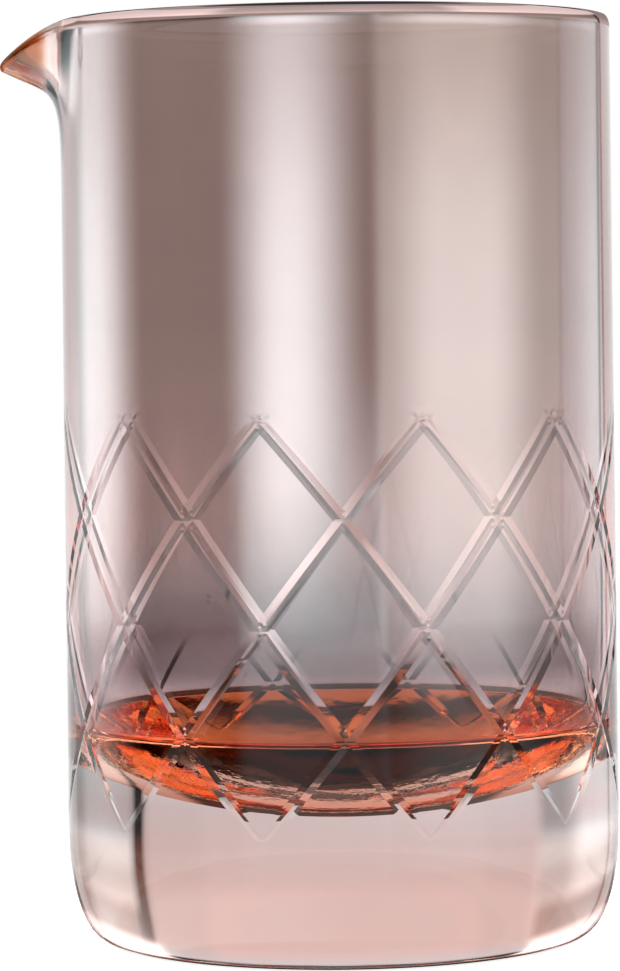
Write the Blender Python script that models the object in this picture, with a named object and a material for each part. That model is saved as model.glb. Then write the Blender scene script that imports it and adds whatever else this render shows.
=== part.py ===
"""A bartender's mixing glass: one heavy piece of glass with a pouring lip and diamond cuts.

The glass stands on the XY plane with its axis on +Z.  The lip points along -X, and azimuths
are measured from -Y towards +X.
"""
import math

import bmesh
import bpy
from mathutils import Vector

MM = 0.001

# The vessel, turned about Z
OUTER_RADIUS = 45.0 * MM
RIM_HEIGHT = 149.4 * MM
FOOT_RADIUS = 38.8 * MM
FOOT_CURVE_HEIGHT = 17.0 * MM
RIM_WALL = 1.8 * MM
RIM_ROUND_HEIGHT = 2.0 * MM
RIM_BASE = RIM_HEIGHT - RIM_ROUND_HEIGHT
CAVITY_FOOT_WALL = 2.8 * MM

# The cavity's floor: a shallow dish, with a small fillet where it meets the wall
DISH_BOTTOM = 20.8 * MM
DISH_RADIUS = 70.6 * MM
DISH_FILLET = 1.5 * MM

# The pouring lip: the wall over LIP_START is pulled outwards along this curve
LIP_AZIMUTH = math.radians(-90)
LIP_HALF_ANGLE = math.radians(24)
LIP_START = 122.0 * MM
LIP_CURVE = (
    Vector((45.0, 122.0)) * MM,
    Vector((45.0, 139.5)) * MM,
    Vector((45.6, 136.9)) * MM,
    Vector((54.4, 141.3)) * MM,
)
LIP_SHARPNESS = 1.2
LIP_SINK_POWER = 1.5
RIM_TIP_SHARE = 0.45  # the rim's rounding reaches less far at the tip of the lip

# The cuts: two families of V-grooves that cross in rows and leave diamonds between them
CUTS_PER_FAMILY = 11
CUT_SPACING = 2 * math.pi / CUTS_PER_FAMILY
CUT_FIRST_AZIMUTH = math.radians(0.5)
CUT_DRIFT = math.radians(1.6)
CUT_MIDDLE_HEIGHT = 52.7 * MM
CUT_SWING = 59.9 * MM
CUT_TOP_ROW = -0.16
CUT_BOTTOM_ROW = 4.15
CUT_DEPTHS = {1: 0.27 * MM, -1: 0.23 * MM}
CUT_FLARE = 5.0
CUT_TOP_RUN_OUT = 0.30
CUT_BOTTOM_RUN_OUT = 0.75
CUT_DIRECTION_STEP = 0.01
CUTTER_LIFT = 0.2 * MM  # how far the cutter's edge is over the wall where a cut has run out
CUTTER_SHOULDER = 0.4 * MM  # how far the cutter's shoulders stand over the wall

# How finely round shapes are divided
COLUMNS = 72
COLUMN_CROWDING = 0.45
FOOT_STEPS = 6
RIM_STEPS = 6
FILLET_STEPS = 3
DISH_STEPS = 8
LIP_STEPS = 9
CUT_STEPS = 16

GLASS_COLOUR = (0.52, 0.39, 0.35, 1.0)
GLASS_ROUGHNESS = 0.05
GLASS_METALLIC = 0.3
GLASS_INDEX = 1.5
SMOOTH_ANGLE = math.radians(30)


def clear_scene():
    """Remove whatever the file already holds."""
    for item in list(bpy.data.objects):
        bpy.data.objects.remove(item, do_unlink=True)


def smooth_step(value):
    """Ease a value from 0 to 1, and hold it outside that range."""
    value = min(1.0, max(0.0, value))
    return value * value * (3.0 - 2.0 * value)


def ellipse_arc(centre, half_width, half_height, start, end, steps):
    """Points of an elliptical arc in the half section, with angles in degrees."""
    points = []
    for step in range(steps + 1):
        angle = math.radians(start + (end - start) * step / steps)
        across = centre[0] + half_width * math.cos(angle)
        up = centre[1] + half_height * math.sin(angle)
        points.append((across, up))
    return points


def outer_section():
    """The outer half section from the foot to the rim."""
    foot_centre = (FOOT_RADIUS, FOOT_CURVE_HEIGHT)
    foot_width = OUTER_RADIUS - FOOT_RADIUS
    points = ellipse_arc(foot_centre, foot_width, FOOT_CURVE_HEIGHT, -90, 0, FOOT_STEPS)
    points += wall_heights(OUTER_RADIUS, OUTER_RADIUS, rising=True)
    return points


def wall_heights(lower_radius, upper_radius, rising):
    """Rings along the part of the wall that the lip is pulled from."""
    points = []
    for step in range(LIP_STEPS):
        share = step / (LIP_STEPS - 1)
        radius = lower_radius + (upper_radius - lower_radius) * share
        points.append((radius, LIP_START + (RIM_BASE - LIP_START) * share))
    if not rising:
        points.reverse()
    return points


def rim_section():
    """The rounded rim, from the outer wall over to the inner wall."""
    centre = (OUTER_RADIUS - RIM_WALL / 2, RIM_BASE)
    arc = ellipse_arc(centre, RIM_WALL / 2, RIM_ROUND_HEIGHT, 0, 180, RIM_STEPS)
    return arc[1:-1]


def inner_section():
    """The inner half section from the rim down into the dish of the cavity's floor."""
    rim_radius = OUTER_RADIUS - RIM_WALL
    foot_radius = OUTER_RADIUS - CAVITY_FOOT_WALL
    fillet_across = foot_radius - DISH_FILLET
    fillet_turn = math.asin(fillet_across / (DISH_RADIUS - DISH_FILLET))
    dish_centre = DISH_BOTTOM + DISH_RADIUS
    foot_height = dish_centre - (DISH_RADIUS - DISH_FILLET) * math.cos(fillet_turn)
    share = (LIP_START - foot_height) / (RIM_BASE - foot_height)
    start_radius = foot_radius + (rim_radius - foot_radius) * share
    points = wall_heights(start_radius, rim_radius, rising=False)
    dish_edge = math.degrees(fillet_turn) - 90
    points += ellipse_arc((fillet_across, foot_height), DISH_FILLET, DISH_FILLET,
                          0, dish_edge, FILLET_STEPS)
    dish = ellipse_arc((0, dish_centre), DISH_RADIUS, DISH_RADIUS, dish_edge, -90, DISH_STEPS)
    return points + dish[1:-1]


def spin_vessel(bm):
    """Turn the half section about Z, and close the foot and the middle of the dish."""
    points = outer_section() + rim_section() + inner_section()
    verts = [bm.verts.new((across, 0.0, up)) for across, up in points]
    edges = [bm.edges.new(pair) for pair in zip(verts, verts[1:])]
    bmesh.ops.spin(bm, geom=verts + edges, cent=(0, 0, 0), axis=(0, 0, 1),
                   angle=2 * math.pi, steps=COLUMNS, use_merge=True)
    open_edges = [edge for edge in bm.edges if edge.is_boundary]
    bmesh.ops.holes_fill(bm, edges=open_edges, sides=0)
    bmesh.ops.recalc_face_normals(bm, faces=bm.faces)


def angle_from_lip(point):
    """How far round the axis a point lies from the middle of the lip."""
    azimuth = math.atan2(point.x, -point.y)
    return math.remainder(azimuth - LIP_AZIMUTH, 2 * math.pi)


def crowd_columns(bm):
    """Draw the columns of points together at the lip, where the form is finest."""
    for vert in bm.verts:
        away = angle_from_lip(vert.co)
        azimuth = LIP_AZIMUTH + away - COLUMN_CROWDING * math.sin(away)
        radius = vert.co.xy.length
        vert.co.x = radius * math.sin(azimuth)
        vert.co.y = -radius * math.cos(azimuth)


def lip_weight(away):
    """How strongly the lip is pulled at an angle from its middle."""
    share = min(1.0, abs(away) / LIP_HALF_ANGLE)
    return (0.5 + 0.5 * math.cos(math.pi * share)) ** LIP_SHARPNESS


def bent_wall(radius, height):
    """Where a point of the half section goes at the middle of the lip."""
    along = min(1.0, (height - LIP_START) / (RIM_BASE - LIP_START))
    rest = 1.0 - along
    first, second, third, last = LIP_CURVE
    place = (first * rest ** 3 + second * (3 * rest ** 2 * along)
             + third * (3 * rest * along ** 2) + last * along ** 3)
    travel = ((second - first) * rest ** 2 + (third - second) * (2 * rest * along)
              + (last - third) * along ** 2).normalized()
    inwards = Vector((-travel.y, travel.x))
    beyond = max(0.0, height - RIM_BASE)
    return place + inwards * (OUTER_RADIUS - radius) + travel * beyond * RIM_TIP_SHARE


def pull_lip(bm):
    """Pull the top of the wall out into the pouring lip."""
    for vert in bm.verts:
        if vert.co.z <= LIP_START:
            continue
        away = angle_from_lip(vert.co)
        weight = lip_weight(away)
        radius = vert.co.xy.length
        bent = bent_wall(radius, vert.co.z)
        reach = radius + (bent.x - radius) * weight
        vert.co.x *= reach / radius
        vert.co.y *= reach / radius
        vert.co.z += (bent.y - vert.co.z) * weight ** LIP_SINK_POWER


def finish_mesh(bm, name):
    """Turn a bmesh into an object in the scene."""
    mesh = bpy.data.meshes.new(name)
    bm.to_mesh(mesh)
    bm.free()
    item = bpy.data.objects.new(name, mesh)
    bpy.context.scene.collection.objects.link(item)
    return item


def cut_path(index, direction, row):
    """Azimuth and height of a cut's valley at a row, counted down from its upper crossing."""
    half_spacing = CUT_SPACING / 2
    turned = CUT_FIRST_AZIMUTH + index * CUT_SPACING + direction * half_spacing * (row - 1)
    azimuth = turned + CUT_DRIFT * math.sin(turned)
    height = CUT_MIDDLE_HEIGHT - CUT_SWING * math.sin(half_spacing * (row - 2))
    return azimuth, height


def on_wall(azimuth, height, radius):
    """A point at an azimuth, height and radius."""
    return Vector((radius * math.sin(azimuth), -radius * math.cos(azimuth), height))


def cut_depth(direction, row):
    """The cut's depth, which runs out to just over the surface at both ends."""
    from_top = smooth_step((row - CUT_TOP_ROW) / CUT_TOP_RUN_OUT)
    from_bottom = smooth_step((CUT_BOTTOM_ROW - row) / CUT_BOTTOM_RUN_OUT)
    share = min(from_top, from_bottom)
    return (CUT_DEPTHS[direction] + CUTTER_LIFT) * share - CUTTER_LIFT


def cut_section(index, direction, row):
    """The three corners of the cutter at a row: valley, one shoulder, other shoulder."""
    azimuth, height = cut_path(index, direction, row)
    before = on_wall(*cut_path(index, direction, row - CUT_DIRECTION_STEP), OUTER_RADIUS)
    after = on_wall(*cut_path(index, direction, row + CUT_DIRECTION_STEP), OUTER_RADIUS)
    travel = (after - before).normalized()
    out = on_wall(azimuth, 0.0, 1.0)
    side = travel.cross(out).normalized()
    depth = cut_depth(direction, row)
    spread = (depth + CUTTER_SHOULDER) * CUT_FLARE
    valley = on_wall(azimuth, height, OUTER_RADIUS - depth)
    shoulder = on_wall(azimuth, height, OUTER_RADIUS + CUTTER_SHOULDER)
    return [valley, shoulder + side * spread, shoulder - side * spread]


def add_cutter(bm, index, direction):
    """One long wedge that follows a cut."""
    rings = []
    for step in range(CUT_STEPS + 1):
        row = CUT_TOP_ROW + (CUT_BOTTOM_ROW - CUT_TOP_ROW) * step / CUT_STEPS
        corners = cut_section(index, direction, row)
        rings.append([bm.verts.new(corner) for corner in corners])
    for upper, lower in zip(rings, rings[1:]):
        for corner in range(3):
            following = (corner + 1) % 3
            bm.faces.new((upper[corner], upper[following], lower[following], lower[corner]))
    bm.faces.new(rings[0])
    bm.faces.new(reversed(rings[-1]))


def make_cutters(name, direction):
    """All the wedges that lean one way, as one hidden cutter."""
    bm = bmesh.new()
    for index in range(CUTS_PER_FAMILY):
        add_cutter(bm, index, direction)
    bmesh.ops.recalc_face_normals(bm, faces=bm.faces)
    cutters = finish_mesh(bm, name)
    cutters.hide_render = True
    cutters.display_type = "WIRE"
    return cutters


def cut_away(item, cutters):
    """Take the cutters' volume out of an object."""
    cut = item.modifiers.new(cutters.name, "BOOLEAN")
    cut.operation = "DIFFERENCE"
    cut.solver = "EXACT"
    cut.object = cutters


def glass_material():
    """Clear glass with the smoky rose lustre that lines it."""
    material = bpy.data.materials.new("lustred_glass")
    material.use_nodes = True
    shader = material.node_tree.nodes["Principled BSDF"]
    shader.inputs["Base Color"].default_value = GLASS_COLOUR
    shader.inputs["Roughness"].default_value = GLASS_ROUGHNESS
    shader.inputs["Metallic"].default_value = GLASS_METALLIC
    shader.inputs["IOR"].default_value = GLASS_INDEX
    shader.inputs["Transmission Weight"].default_value = 1.0
    return material


def make_glass_body():
    """The whole vessel: foot, wall, rim, lip and cuts."""
    bm = bmesh.new()
    spin_vessel(bm)
    crowd_columns(bm)
    pull_lip(bm)
    body = finish_mesh(bm, "glass_body")
    body.data.shade_smooth()
    body.data.set_sharp_from_angle(angle=SMOOTH_ANGLE)
    body.data.materials.append(glass_material())
    cut_away(body, make_cutters("cuts_leaning_right", 1))
    cut_away(body, make_cutters("cuts_leaning_left", -1))


clear_scene()
make_glass_body()
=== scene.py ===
import math

import bpy
from mathutils import Matrix, Vector


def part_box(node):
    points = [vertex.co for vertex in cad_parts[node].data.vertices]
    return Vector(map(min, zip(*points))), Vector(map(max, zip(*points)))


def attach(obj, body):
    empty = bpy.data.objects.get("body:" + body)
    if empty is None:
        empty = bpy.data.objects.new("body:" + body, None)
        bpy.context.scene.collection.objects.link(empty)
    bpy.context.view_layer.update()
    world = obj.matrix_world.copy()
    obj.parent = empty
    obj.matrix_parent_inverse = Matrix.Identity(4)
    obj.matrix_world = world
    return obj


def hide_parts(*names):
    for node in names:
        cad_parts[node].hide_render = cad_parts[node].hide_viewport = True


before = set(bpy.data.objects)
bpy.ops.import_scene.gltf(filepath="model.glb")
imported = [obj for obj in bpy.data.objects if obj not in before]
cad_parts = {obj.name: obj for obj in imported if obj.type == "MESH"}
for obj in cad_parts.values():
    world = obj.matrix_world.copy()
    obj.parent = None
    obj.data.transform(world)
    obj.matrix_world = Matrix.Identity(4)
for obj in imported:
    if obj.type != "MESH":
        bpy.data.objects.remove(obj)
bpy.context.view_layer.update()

# A mixing glass as one fine mesh: clear outside but for painted shade in its base, with a
# copper and rose lustre film fused to the inside. Its axis is +Z, its lip points along -X,
# and azimuths run from -Y, where the camera stands, towards +X.

LOW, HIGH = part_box("glass_body")
MM = 0.001

# The vessel, from the CAD solid's own box
RADIUS = min(HIGH[0], HIGH[1])
HEIGHT = HIGH[2]
LIP_REACH = -LOW[0] - RADIUS
FOOT_RADIUS = RADIUS - 6.2 * MM
FOOT_CURVE_HEIGHT = 17.0 * MM
RIM_WALL = 1.8 * MM
RIM_ROUND_HEIGHT = 2.0 * MM
RIM_BASE = HEIGHT - RIM_ROUND_HEIGHT
CAVITY_FOOT_WALL = 2.8 * MM
DISH_BOTTOM = 20.8 * MM
DISH_RADIUS = 70.6 * MM
DISH_FILLET = 1.5 * MM

# The lip: over LIP_START the wall is pulled outwards along a curve of (radius, height)
LIP_AZIMUTH = math.radians(-90)
LIP_HALF_ANGLE = math.radians(24)
LIP_START = HEIGHT - 27.4 * MM
LIP_CURVE = (
    Vector((RADIUS, LIP_START)),
    Vector((RADIUS, HEIGHT - 9.9 * MM)),
    Vector((RADIUS + 0.6 * MM, HEIGHT - 12.5 * MM)),
    Vector((RADIUS + LIP_REACH - 0.5 * MM, HEIGHT - 8.1 * MM)),
)
LIP_SHARPNESS = 1.2
LIP_SINK_POWER = 1.5
LIP_TIP_SHARE = 0.45

# The cuts: two families that cross in rows, row 0 at the top points of the band
CUTS_PER_FAMILY = 11
CUT_SPACING = 2 * math.pi / CUTS_PER_FAMILY
CUT_FIRST_AZIMUTH = math.radians(0.5)
CUT_DRIFT = math.radians(1.6)
CUT_MIDDLE_ROW = 2
CUT_MIDDLE_HEIGHT = 52.7 * MM
CUT_SWING = 59.9 * MM
CUT_TOP_ROW = -0.16
CUT_BOTTOM_ROW = 4.15
CUT_DEPTH_TOP = 0.12 * MM
CUT_DEPTH_BOTTOM = 0.21 * MM
CUT_TOP_RUN_OUT = 0.30
CUT_BOTTOM_RUN_OUT = 0.75
CUT_EDGE_ANGLE = math.radians(4)

# The fine mesh: rings of points, every other ring turned by half a column
LINES_PER_CUT = 36
COLUMNS = CUTS_PER_FAMILY * LINES_PER_CUT
CUT_HALF_LINES = 2
MESHED_TOP_ROW = -0.25
MESHED_BOTTOM_ROW = 4.25
UNDERSIDE_SHARES = (0.2, 0.5, 0.75)
FOOT_STEPS = 10
PLAIN_WALL_STEPS = 2
LIP_STEPS = 18
RIM_STEPS = 10
INNER_LIP_STEPS = 16
INNER_WALL_STEPS = 5
FILLET_STEPS = 5
DISH_STEPS = 15

# The clear glass: painted shade in its base by height in mm, as (height, red, green, blue):
# dark painted contact shade along the bottom edge, then a painted pink shadow of the film on
# the floor behind, seen through the base, clearing by 33 mm
GLASS_INDEX = 1.5
PAINTED_BASE_SHADE_TOP = 40.0
PAINTED_BASE_SHADE = (
    (0, 0.42, 0.16, 0.09),
    (0.5, 0.42, 0.16, 0.09),
    (1.1, 0.82, 0.71, 0.70),
    (2.2, 0.79, 0.60, 0.57),
    (3.6, 0.78, 0.51, 0.46),
    (12, 0.74, 0.50, 0.46),
    (18, 0.64, 0.49, 0.48),
    (25, 0.63, 0.52, 0.515),
    (33, 0.97, 0.95, 0.96),
)

# The film by height in mm: clear copper orange over the cavity's floor, then smoky
# grey, and up the wall a mirror that lets almost nothing through
FILM_TOP = 150.0
FILM_THROUGH = (
    (0.0, 1.0, 0.25, 0.07),
    (34.3, 1.0, 0.25, 0.07),
    (36.0, 0.90, 0.84, 0.84),
    (41.0, 0.62, 0.53, 0.54),
    (46.0, 0.40, 0.32, 0.33),
    (54.0, 0.80, 0.71, 0.71),
    (66.0, 0.82, 0.72, 0.71),
    (120.0, 0.89, 0.775, 0.762),
)
FILM_MIRROR = (
    (0.0, 0.82, 0.42, 0.30),
    (24.5, 0.82, 0.42, 0.30),
    (27.5, 0.88, 0.68, 0.60),
    (32.0, 0.88, 0.66, 0.56),
    (33.3, 0.82, 0.32, 0.14),
    (34.3, 0.82, 0.32, 0.14),
    (37.0, 0.80, 0.48, 0.48),
    (54.0, 0.88, 0.655, 0.635),
    (66.0, 0.91, 0.66, 0.63),
    (83.0, 0.67, 0.48, 0.465),
    (100.0, 0.527, 0.382, 0.367),
    (147.6, 0.527, 0.382, 0.367),
    (148.4, 0.29, 0.22, 0.21),
)
FILM_METAL = (
    (0.0, 0.04),
    (34.3, 0.04),
    (36.0, 0.10),
    (41.0, 0.13),
    (46.0, 0.30),
    (54.0, 0.48),
    (66.0, 0.55),
    (83.0, 0.75),
    (100.0, 0.95),
)

# The film along X at the lip: thin at the lip's root and copper orange at its tip
LIP_FILM_FROM = -43.2 * MM
LIP_FILM_TO = -44.0 * MM
LIP_THROUGH = (0.93, 0.87, 0.85, 1.0)
LIP_MIRROR = (0.80, 0.62, 0.58, 1.0)
LIP_METAL = (0.22, 0.22, 0.22, 1.0)
TIP_FILM_FROM = -45.8 * MM
TIP_FILM_TO = -48.2 * MM
TIP_THROUGH = (0.64, 0.34, 0.21, 1.0)
TIP_MIRROR = (0.66, 0.30, 0.16, 1.0)

# The film's clouds, and the ripple of the glass under it in the cavity's floor
CLOUD_SCALE = 70.0
CLOUD_DETAIL = 4.0
CLOUD_LEAST = 0.94
CLOUD_RANGE = 0.12
RIPPLE_SCALE = 330.0
RIPPLE_DETAIL = 3.0
RIPPLE_DISTANCE = 0.3 * MM
RIPPLE_STRENGTH = 0.25
RIPPLE_FROM = 35.2 * MM
RIPPLE_TO = 34.0 * MM

# The stage: a pale floor, and a dark disc right under the glass as a painted shadow of the glass on the
# floor
DISC_CORNERS = 96
FLOOR_RADIUS = 160.0 * MM
FLOOR_DROP = 0.4 * MM
FLOOR_COLOUR = (0.9, 0.9, 0.9, 1.0)
FLOOR_GLOW_COLOUR = (1.0, 1.0, 1.0, 1.0)
FLOOR_GLOW = 0.8
FLOOR_SHEEN = 0.2
SHADE_RADIUS = 38.5 * MM
SHADE_DROP = 0.2 * MM
SHADE_COLOUR = (0.04, 0.035, 0.04, 1.0)
STAGE_ROUGHNESS = 0.6

# The camera
LENS = 157.2
SENSOR_WIDTH = 36.0
SHIFT_ACROSS = -0.0282
SHIFT_UP = -0.2075
CAMERA_PLACE = (0.0, -0.695, 0.106)
CAMERA_ROLL = math.radians(-0.69)
CAMERA_REACH = 20.0

# How often light may bend and bounce in the glass
MOST_BOUNCES = 24
MOST_MIRRORINGS = 12


def tinted(tint, strengths):
    return tuple((place, *(strength * part for part in tint)) for place, strength in strengths)


def scaled(tint, strength):
    return tuple(strength * part for part in tint)


GREY = (1.0, 1.0, 1.0)
BLACK = (0.0, 0.0, 0.0)

COOL = (0.75, 1.0, 1.05)
COLD = (0.6, 1.0, 1.05)
PALE = (0.9, 1.0, 1.0)
SOFT = (0.85, 1.0, 0.9)
WARM = (1.1, 1.0, 0.93)
ORANGE = (1.8, 0.9, 0.6)

# The studio round the glass. Each light is bright between its two middle edges and
# fades to black at the outer two: by azimuth in degrees from the camera, + to its right
LEFT_STRIP = (-52, -22, -19, 14)
FRONT_GLOW = (-46, -38, 17, 21)
RIGHT_DOME = (14, 44, 66, 98)
RIGHT_PANEL = (13, 20, 107, 111)
REAR_LEFT_PANEL = (-150, -146, -110, -90)
REAR_LEFT_STRIP = (-142, -131, -122, -100)
REAR_RIGHT_PANEL = (108, 112, 143, 144.5)
REAR_RIGHT_DOME = (110, 138, 143, 144.5)
LEFT_WING = (-162, -158, -150, -146)
RIGHT_WING = (146.5, 148, 158, 162)
ROOM = (-151, -146, 142, 144.5)
ROOM_EDGE = (143, 144.5, 146.5, 147.5)
TABLE = (-150, -140, 140, 150)
TABLE_LEFT = (-150, -140, -30, 10)
OVERHEAD = (-150, -146, 146, 150)
OVERHEAD_LEFT = (-150, -146, -60, -45)
OVERHEAD_RIGHT = (45, 60, 146, 150)

# and by elevation in degrees
EYE_LEVEL = (-7, -3, -1.5, 3)
EYE_LEVEL_UP = (-7, -3, 6, 10)
WALL_LEVEL = (-14, -10, -1.5, 3)
WALL_LEVEL_UP = (-10, -3, 6, 10)
GLOW_LEVEL = (-20, -12, -4.5, -2.4)
GLOW_BAND = (-9, -7.5, -6.5, -5.5)
BELOW_EYE_LEVEL = (-46, -36, -7, -3)
WING_LEVEL = (-42.5, -40, 22, 27)
ROOM_LEVEL = (-5.6, -2.2, 14, 17)
ROOM_TOP = (4, 8, 14, 17)
TABLE_LEVEL = (-52, -46, -24, -12)
OVERHEAD_LEVEL = (13, 17, 42, 48)

# The lights as (strength, tint, azimuth, elevation)
LIGHTS = (
    (0.95, COOL, LEFT_STRIP, EYE_LEVEL),
    (0.9, COOL, LEFT_STRIP, EYE_LEVEL_UP),
    (0.33, COLD, FRONT_GLOW, GLOW_LEVEL),
    (0.2, COLD, FRONT_GLOW, GLOW_BAND),
    (0.55, COOL, RIGHT_DOME, WALL_LEVEL),
    (0.35, SOFT, RIGHT_DOME, WALL_LEVEL_UP),
    (0.25, COOL, RIGHT_PANEL, WALL_LEVEL),
    (0.2, SOFT, RIGHT_PANEL, WALL_LEVEL_UP),
    (0.5, GREY, REAR_LEFT_PANEL, BELOW_EYE_LEVEL),
    (0.5, COOL, REAR_LEFT_PANEL, EYE_LEVEL_UP),
    (0.3, COOL, REAR_LEFT_PANEL, EYE_LEVEL),
    (0.65, GREY, REAR_LEFT_STRIP, BELOW_EYE_LEVEL),
    (0.65, COOL, REAR_LEFT_STRIP, EYE_LEVEL_UP),
    (0.35, COOL, REAR_LEFT_STRIP, EYE_LEVEL),
    (0.35, GREY, REAR_RIGHT_PANEL, BELOW_EYE_LEVEL),
    (0.35, COOL, REAR_RIGHT_PANEL, EYE_LEVEL_UP),
    (0.2, COOL, REAR_RIGHT_PANEL, EYE_LEVEL),
    (0.35, GREY, REAR_RIGHT_DOME, BELOW_EYE_LEVEL),
    (0.35, COOL, REAR_RIGHT_DOME, EYE_LEVEL_UP),
    (0.2, COOL, REAR_RIGHT_DOME, EYE_LEVEL),
    (0.95, GREY, LEFT_WING, WING_LEVEL),
    (0.95, GREY, RIGHT_WING, WING_LEVEL),
    (0.42, WARM, ROOM, ROOM_LEVEL),
    (0.17, WARM, ROOM, ROOM_TOP),
    (0.1, ORANGE, ROOM_EDGE, ROOM_LEVEL),
    (0.75, PALE, TABLE, TABLE_LEVEL),
    (0.9, PALE, TABLE_LEFT, TABLE_LEVEL),
    (1.4, GREY, OVERHEAD, OVERHEAD_LEVEL),
    (1.2, GREY, OVERHEAD_LEFT, OVERHEAD_LEVEL),
    (1.2, GREY, OVERHEAD_RIGHT, OVERHEAD_LEVEL),
)

# The backdrop is what lies behind these edges: a low strip, a faint stretch over it
# and a white panel, as (strength, elevation)
BACKDROP = (-162, -158, 158, 162)
BACKDROP_LIGHTS = (
    (1.0, (-42.5, -40, -37, -35)),
    (0.12, (-37, -35, -10.5, -9)),
    (1.0, (-10.5, -9, 22, 27)),
)
ALL_ROUND_RISE = tinted(GREY, (
    (-52, 0.6), (-46, 0), (42, 0), (48, 1.2), (58, 1.3), (62, 0.15)))
WHITE = (1.0, 1.0, 1.0, 1.0)


def smooth_step(value):
    value = min(1.0, max(0.0, value))
    return value * value * (3.0 - 2.0 * value)


def spread(first, last, steps):
    return [first + (last - first) * step / steps for step in range(steps + 1)]


def ellipse_arc(centre, half_width, half_height, start, end, steps):
    """Points of an ellipse as (radius, height, no cut row), from start to end in degrees."""
    points = []
    for turn in spread(start, end, steps):
        angle = math.radians(turn)
        points.append((centre[0] + half_width * math.cos(angle),
                       centre[1] + half_height * math.sin(angle), None))
    return points


# ---------------------------------------------------------------- the vessel's rings

def row_height(row):
    return CUT_MIDDLE_HEIGHT - CUT_SWING * math.sin(CUT_SPACING / 2 * (row - CUT_MIDDLE_ROW))


def outer_rings():
    """Half-section points of the outside, as (radius, height, cut row or None)."""
    rings = [(RADIUS * share, 0.0, None) for share in UNDERSIDE_SHARES]
    rings += ellipse_arc((FOOT_RADIUS, FOOT_CURVE_HEIGHT), RADIUS - FOOT_RADIUS,
                         FOOT_CURVE_HEIGHT, -90, 0, FOOT_STEPS)[:-1]
    rows = round((MESHED_BOTTOM_ROW - MESHED_TOP_ROW) * LINES_PER_CUT)
    for step in range(rows + 1):
        row = MESHED_BOTTOM_ROW - step / LINES_PER_CUT
        rings.append((RADIUS, row_height(row), row))
    top = rings[-1][1]
    rings += [(RADIUS, up, None) for up in spread(top, LIP_START, PLAIN_WALL_STEPS)[1:]]
    rings += [(RADIUS, up, None) for up in spread(LIP_START, RIM_BASE, LIP_STEPS)[1:]]
    return rings


def rim_rings():
    return ellipse_arc((RADIUS - RIM_WALL / 2, RIM_BASE), RIM_WALL / 2, RIM_ROUND_HEIGHT,
                       0, 180, RIM_STEPS)[1:-1]


def inner_rings():
    rim_radius = RADIUS - RIM_WALL
    foot_radius = RADIUS - CAVITY_FOOT_WALL
    fillet_across = foot_radius - DISH_FILLET
    fillet_turn = math.asin(fillet_across / (DISH_RADIUS - DISH_FILLET))
    dish_top = DISH_BOTTOM + DISH_RADIUS
    foot_height = dish_top - (DISH_RADIUS - DISH_FILLET) * math.cos(fillet_turn)

    def wall_ring(up):
        share = (up - foot_height) / (RIM_BASE - foot_height)
        return (foot_radius + (rim_radius - foot_radius) * share, up, None)

    rings = [wall_ring(up) for up in spread(RIM_BASE, LIP_START, INNER_LIP_STEPS)]
    rings += [wall_ring(up) for up in spread(LIP_START, foot_height, INNER_WALL_STEPS)[1:-1]]
    rings += ellipse_arc((fillet_across, foot_height), DISH_FILLET, DISH_FILLET,
                         0, math.degrees(fillet_turn) - 90, FILLET_STEPS)
    for step in range(1, DISH_STEPS):
        turn = fillet_turn * (1 - step / DISH_STEPS)
        rings.append((DISH_RADIUS * math.sin(turn), dish_top - DISH_RADIUS * math.cos(turn), None))
    return rings


def column_azimuth(ring, column):
    turned = CUT_FIRST_AZIMUTH + (column + 0.5 * (ring % 2)) * 2 * math.pi / COLUMNS
    return turned + CUT_DRIFT * math.sin(turned)


def cut_depth(row):
    """The cuts are deeper in the base than at the top of the band."""
    share = min(1.0, max(0.0, row / CUT_BOTTOM_ROW))
    return CUT_DEPTH_TOP + (CUT_DEPTH_BOTTOM - CUT_DEPTH_TOP) * share


def cut_share(ring, column, row):
    """How deep the nearest cut is at a point of the lattice, from 0 to 1."""
    place = (column + 0.5 * (ring % 2)) / LINES_PER_CUT
    along = (row - 1) / 2
    half = CUT_HALF_LINES / LINES_PER_CUT
    deepest = 0.0
    for direction in (1, -1):
        offset = place - direction * along
        offset -= round(offset)
        deepest = max(deepest, 1.0 - abs(offset) / half)
    from_top = smooth_step((row - CUT_TOP_ROW) / CUT_TOP_RUN_OUT)
    from_bottom = smooth_step((CUT_BOTTOM_ROW - row) / CUT_BOTTOM_RUN_OUT)
    reach = min(from_top, from_bottom)
    return max(0.0, deepest - (1.0 - reach))


def lip_weight(azimuth):
    """How far a point of the wall follows the lip's curve, from 0 to 1 at its middle."""
    away = abs(math.remainder(azimuth - LIP_AZIMUTH, 2 * math.pi))
    share = min(1.0, away / LIP_HALF_ANGLE)
    return (0.5 + 0.5 * math.cos(math.pi * share)) ** LIP_SHARPNESS


def bent_wall(radius, height):
    """Where a point of the straight wall comes to lie in the middle of the lip."""
    along = min(1.0, (height - LIP_START) / (RIM_BASE - LIP_START))
    rest = 1.0 - along
    first, second, third, last = LIP_CURVE
    place = (first * rest ** 3 + second * (3 * rest ** 2 * along)
             + third * (3 * rest * along ** 2) + last * along ** 3)
    travel = ((second - first) * rest ** 2 + (third - second) * (2 * rest * along)
              + (last - third) * along ** 2).normalized()
    inwards = Vector((-travel.y, travel.x))
    beyond = max(0.0, height - RIM_BASE)
    return place + inwards * (RADIUS - radius) + travel * beyond * LIP_TIP_SHARE


def ring_point(ring, column, section):
    radius, height, row = section
    azimuth = column_azimuth(ring, column)
    if row is not None:
        radius -= cut_depth(row) * cut_share(ring, column, row)
    elif height > LIP_START:
        weight = lip_weight(azimuth)
        if weight > 0.0:
            bent = bent_wall(radius, height)
            radius += (bent.x - radius) * weight
            height += (bent.y - height) * weight ** LIP_SINK_POWER
    return (radius * math.sin(azimuth), -radius * math.cos(azimuth), height)


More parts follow.
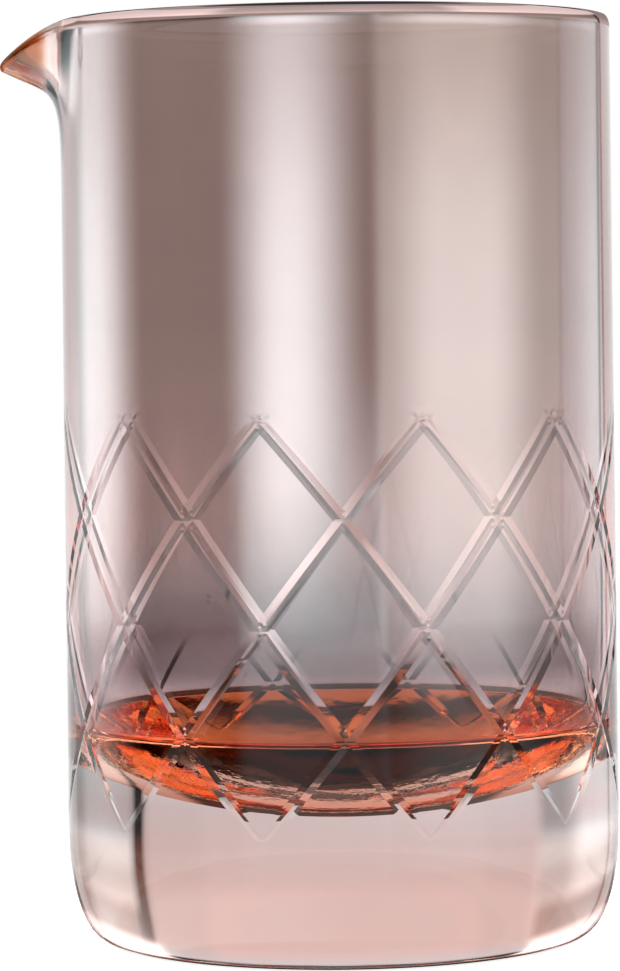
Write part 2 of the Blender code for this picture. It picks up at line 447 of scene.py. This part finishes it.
def strip_faces(ring):
    """Triangles between a ring and the next, which is turned by half a column."""
    lower = ring * COLUMNS
    upper = lower + COLUMNS
    faces = []
    for column in range(COLUMNS):
        following = (column + 1) % COLUMNS
        if ring % 2:
            faces.append((lower + column, lower + following, upper + following))
            faces.append((lower + column, upper + following, upper + column))
        else:
            faces.append((lower + column, lower + following, upper + column))
            faces.append((lower + following, upper + following, upper + column))
    return faces


def sharpen_cuts(mesh, sections):
    """Only the ground cuts have crisp edges; the moulded glass is smooth."""
    mesh.set_sharp_from_angle(angle=CUT_EDGE_ANGLE)
    rows = [ring for ring, section in enumerate(sections) if section[2] is not None]
    first, last = rows[0] * COLUMNS, (rows[-1] + 1) * COLUMNS
    sharp = mesh.attributes["sharp_edge"]
    for edge in mesh.edges:
        start, end = edge.vertices
        if not (first <= start < last and first <= end < last):
            sharp.data[edge.index].value = False


def vessel_faces(points, rings, filmed_ring):
    """The skin over the rings and its two centre points, and which faces are filmed."""
    faces = []
    filmed = []
    for ring in range(rings - 1):
        strip = strip_faces(ring)
        faces += strip
        filmed += [int(ring >= filmed_ring)] * len(strip)
    foot_centre = len(points)
    points.append((0.0, 0.0, 0.0))
    floor_centre = len(points)
    points.append((0.0, 0.0, DISH_BOTTOM))
    last = (rings - 1) * COLUMNS
    for column in range(COLUMNS):
        following = (column + 1) % COLUMNS
        faces.append((foot_centre, following, column))
        faces.append((floor_centre, last + column, last + following))
        filmed += [0, 1]
    return faces, filmed


def make_vessel():
    outside = outer_rings()
    sections = outside + rim_rings() + inner_rings()
    points = [ring_point(ring, column, section)
              for ring, section in enumerate(sections) for column in range(COLUMNS)]
    faces, filmed = vessel_faces(points, len(sections), len(outside) - 1)
    mesh = bpy.data.meshes.new("mixing_glass")
    mesh.from_pydata(points, [], faces)
    mesh.materials.append(glass_with_painted_shade())
    mesh.materials.append(lustre_film())
    mesh.polygons.foreach_set("material_index", filmed)
    mesh.shade_smooth()
    sharpen_cuts(mesh, sections)
    vessel = bpy.data.objects.new("mixing_glass", mesh)
    bpy.context.scene.collection.objects.link(vessel)
    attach(vessel, "root")
    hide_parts("glass_body")


# ---------------------------------------------------------------- nodes

def colour_ramp(tree, factor, stops, low, high):
    node = tree.nodes.new("ShaderNodeValToRGB")
    elements = node.color_ramp.elements
    while len(elements) < len(stops):
        elements.new(0.5)
    for element, (place, *colour) in zip(elements, stops):
        element.position = (place - low) / (high - low)
        element.color = (*colour, 1.0)
    tree.links.new(factor, node.inputs["Fac"])
    return node.outputs["Color"]


def soft_edges(tree, share, edges, reach, outside, inside):
    """One colour outside the outer edges, another between the inner ones, with a soft change."""
    stops = [(edge, *colour) for edge, colour in zip(edges, (outside, inside, inside, outside))]
    light = colour_ramp(tree, share, stops, -reach, reach)
    light.node.color_ramp.interpolation = "EASE"
    return light


def blend(tree, kind, first, second, factor=1.0):
    node = tree.nodes.new("ShaderNodeMixRGB")
    node.blend_type = kind
    for socket, value in (("Fac", factor), ("Color1", first), ("Color2", second)):
        if isinstance(value, (tuple, float)):
            node.inputs[socket].default_value = value
        else:
            tree.links.new(value, node.inputs[socket])
    return node.outputs[0]


def maths(tree, kind, first, second=None):
    node = tree.nodes.new("ShaderNodeMath")
    node.operation = kind
    for socket, value in enumerate((first, second)):
        if isinstance(value, float):
            node.inputs[socket].default_value = value
        elif value is not None:
            tree.links.new(value, node.inputs[socket])
    return node.outputs[0]


def noise(tree, place, scale, detail):
    node = tree.nodes.new("ShaderNodeTexNoise")
    node.inputs["Scale"].default_value = scale
    node.inputs["Detail"].default_value = detail
    tree.links.new(place, node.inputs["Vector"])
    return node.outputs["Fac"]


def ramp_between(tree, value, low, high):
    node = tree.nodes.new("ShaderNodeMapRange")
    node.interpolation_type = "SMOOTHSTEP"
    node.inputs["From Min"].default_value = low
    node.inputs["From Max"].default_value = high
    tree.links.new(value, node.inputs["Value"])
    return node.outputs["Result"]


def texture_place(tree, kind):
    """A coordinate, and the same one split into X, Y and Z."""
    place = tree.nodes.new("ShaderNodeTexCoord").outputs[kind]
    split = tree.nodes.new("ShaderNodeSeparateXYZ")
    tree.links.new(place, split.inputs[0])
    return place, split.outputs


def new_material(name):
    material = bpy.data.materials.new(name)
    material.use_nodes = True
    return material, material.node_tree


# ---------------------------------------------------------------- materials

def glass_with_painted_shade():
    material, tree = new_material("glass_with_painted_shade")
    shader = tree.nodes["Principled BSDF"]
    _, split = texture_place(tree, "Object")
    height = maths(tree, "DIVIDE", split["Z"], PAINTED_BASE_SHADE_TOP * MM)
    # The base colour by height is painted shade: contact shade at the bottom edge and the film's pink
    # shadow on the floor behind, painted into the glass of the base.
    colour = colour_ramp(tree, height, PAINTED_BASE_SHADE, 0.0, PAINTED_BASE_SHADE_TOP)
    tree.links.new(colour, shader.inputs["Base Color"])
    shader.inputs["Roughness"].default_value = 0.0
    shader.inputs["IOR"].default_value = GLASS_INDEX
    shader.inputs["Transmission Weight"].default_value = 1.0
    return material


def film_ripple(tree, place, height):
    """A faint unevenness of the cavity's floor, as a bumped normal."""
    ripple = tree.nodes.new("ShaderNodeBump")
    ripple.inputs["Distance"].default_value = RIPPLE_DISTANCE
    ripple.inputs["Strength"].default_value = RIPPLE_STRENGTH
    in_dish = ramp_between(tree, height, RIPPLE_FROM, RIPPLE_TO)
    fine = noise(tree, place, RIPPLE_SCALE, RIPPLE_DETAIL)
    tree.links.new(maths(tree, "MULTIPLY", fine, in_dish), ripple.inputs["Height"])
    return ripple.outputs[0]


def lustre_film():
    """A metal film: part of the light goes through, tinted, and the rest is mirrored."""
    material, tree = new_material("lustre_film")
    tree.nodes.remove(tree.nodes["Principled BSDF"])
    place, split = texture_place(tree, "Object")
    height = maths(tree, "DIVIDE", split["Z"], FILM_TOP * MM)
    clouds = noise(tree, place, CLOUD_SCALE, CLOUD_DETAIL)
    unevenness = maths(tree, "ADD", maths(tree, "MULTIPLY", clouds, CLOUD_RANGE), CLOUD_LEAST)
    in_lip = ramp_between(tree, split["X"], LIP_FILM_FROM, LIP_FILM_TO)
    in_tip = ramp_between(tree, split["X"], TIP_FILM_FROM, TIP_FILM_TO)

    def varied(stops, lip_colour, tip_colour):
        colour = blend(tree, "MIX", colour_ramp(tree, height, stops, 0.0, FILM_TOP), lip_colour, in_lip)
        colour = blend(tree, "MIX", colour, tip_colour, in_tip)
        return blend(tree, "MULTIPLY", colour, unevenness)

    through = tree.nodes.new("ShaderNodeBsdfRefraction")
    through.inputs["Roughness"].default_value = 0.0
    through.inputs["IOR"].default_value = GLASS_INDEX
    tree.links.new(varied(FILM_THROUGH, LIP_THROUGH, TIP_THROUGH), through.inputs["Color"])
    mirror = tree.nodes.new("ShaderNodeBsdfAnisotropic")
    mirror.inputs["Roughness"].default_value = 0.0
    tree.links.new(varied(FILM_MIRROR, LIP_MIRROR, TIP_MIRROR), mirror.inputs["Color"])
    fresnel = tree.nodes.new("ShaderNodeFresnel")
    fresnel.inputs["IOR"].default_value = GLASS_INDEX
    metal = colour_ramp(tree, height, tinted(GREY, FILM_METAL), 0.0, FILM_TOP)
    metal = blend(tree, "MIX", metal, LIP_METAL, in_lip)
    join = tree.nodes.new("ShaderNodeMixShader")
    tree.links.new(maths(tree, "MAXIMUM", fresnel.outputs[0], metal), join.inputs["Fac"])
    tree.links.new(through.outputs[0], join.inputs[1])
    tree.links.new(mirror.outputs[0], join.inputs[2])
    tree.links.new(join.outputs[0], tree.nodes["Material Output"].inputs["Surface"])
    normal = film_ripple(tree, place, split["Z"])
    for shader in (through, mirror, fresnel):
        tree.links.new(normal, shader.inputs["Normal"])
    return material


# ---------------------------------------------------------------- stage, light and camera

def make_disc(name, radius, drop, colour):
    corners = [(radius * math.cos(math.tau * step / DISC_CORNERS),
                radius * math.sin(math.tau * step / DISC_CORNERS), 0) for step in range(DISC_CORNERS)]
    mesh = bpy.data.meshes.new(name)
    mesh.from_pydata(corners, [], [list(range(DISC_CORNERS))])
    material, tree = new_material(name)
    shader = tree.nodes["Principled BSDF"]
    shader.inputs["Base Color"].default_value = colour
    shader.inputs["Roughness"].default_value = STAGE_ROUGHNESS
    mesh.materials.append(material)
    disc = bpy.data.objects.new(name, mesh)
    disc.location.z = -drop
    bpy.context.scene.collection.objects.link(disc)
    return disc, shader


def make_floor():
    floor, shader = make_disc("floor", FLOOR_RADIUS, FLOOR_DROP, FLOOR_COLOUR)
    shader.inputs["Specular IOR Level"].default_value = FLOOR_SHEEN
    shader.inputs["Emission Color"].default_value = FLOOR_GLOW_COLOUR
    shader.inputs["Emission Strength"].default_value = FLOOR_GLOW
    floor.visible_glossy = False
    floor.visible_transmission = False
    # A dark disc under the glass: a painted shadow of the glass on the floor, seen through the glass.
    make_disc("painted_shadow_under_glass", SHADE_RADIUS, SHADE_DROP, SHADE_COLOUR)


def make_world():
    """A sky of soft lights round the glass; the camera itself sees plain white there."""
    world = bpy.data.worlds.new("studio")
    world.use_nodes = True
    tree = world.node_tree
    _, split = texture_place(tree, "Generated")
    azimuth = maths(tree, "ARCTAN2", split["X"], maths(tree, "MULTIPLY", split["Y"], -1.0))
    round_share = maths(tree, "ADD", maths(tree, "DIVIDE", azimuth, math.tau), 0.5)
    rise = maths(tree, "MULTIPLY", maths(tree, "ARCSINE", split["Z"]), 180 / math.pi)
    rise_share = maths(tree, "ADD", maths(tree, "DIVIDE", rise, 180.0), 0.5)
    everything = colour_ramp(tree, rise_share, ALL_ROUND_RISE, -90, 90)
    for strength, tint, around, rises in LIGHTS:
        across = soft_edges(tree, round_share, around, 180, BLACK, scaled(tint, strength))
        light = blend(tree, "MULTIPLY", across, soft_edges(tree, rise_share, rises, 90, BLACK, GREY))
        everything = blend(tree, "ADD", everything, light)
    for strength, rises in BACKDROP_LIGHTS:
        across = soft_edges(tree, round_share, BACKDROP, 180, scaled(GREY, strength), BLACK)
        light = blend(tree, "MULTIPLY", across, soft_edges(tree, rise_share, rises, 90, BLACK, GREY))
        everything = blend(tree, "ADD", everything, light)
    path = tree.nodes.new("ShaderNodeLightPath")
    seen = blend(tree, "MIX", everything, WHITE, path.outputs["Is Camera Ray"])
    tree.links.new(seen, tree.nodes["Background"].inputs["Color"])
    bpy.context.scene.world = world


def make_camera():
    data = bpy.data.cameras.new("camera")
    data.sensor_width = SENSOR_WIDTH
    data.lens = LENS
    data.shift_x = SHIFT_ACROSS
    data.shift_y = SHIFT_UP
    data.clip_end = CAMERA_REACH
    camera = bpy.data.objects.new("camera", data)
    camera.location = CAMERA_PLACE
    camera.rotation_mode = "XYZ"
    turn = Matrix.Rotation(math.radians(90), 4, "X") @ Matrix.Rotation(CAMERA_ROLL, 4, "Z")
    camera.rotation_euler = turn.to_euler()
    bpy.context.scene.collection.objects.link(camera)
    bpy.context.scene.camera = camera


def settle_render():
    scene = bpy.context.scene
    scene.view_settings.view_transform = "Standard"
    scene.cycles.max_bounces = MOST_BOUNCES
    scene.cycles.transmission_bounces = MOST_BOUNCES
    scene.cycles.glossy_bounces = MOST_MIRRORINGS
    scene.cycles.use_denoising = True


make_vessel()
make_floor()
make_world()
make_camera()
settle_render()
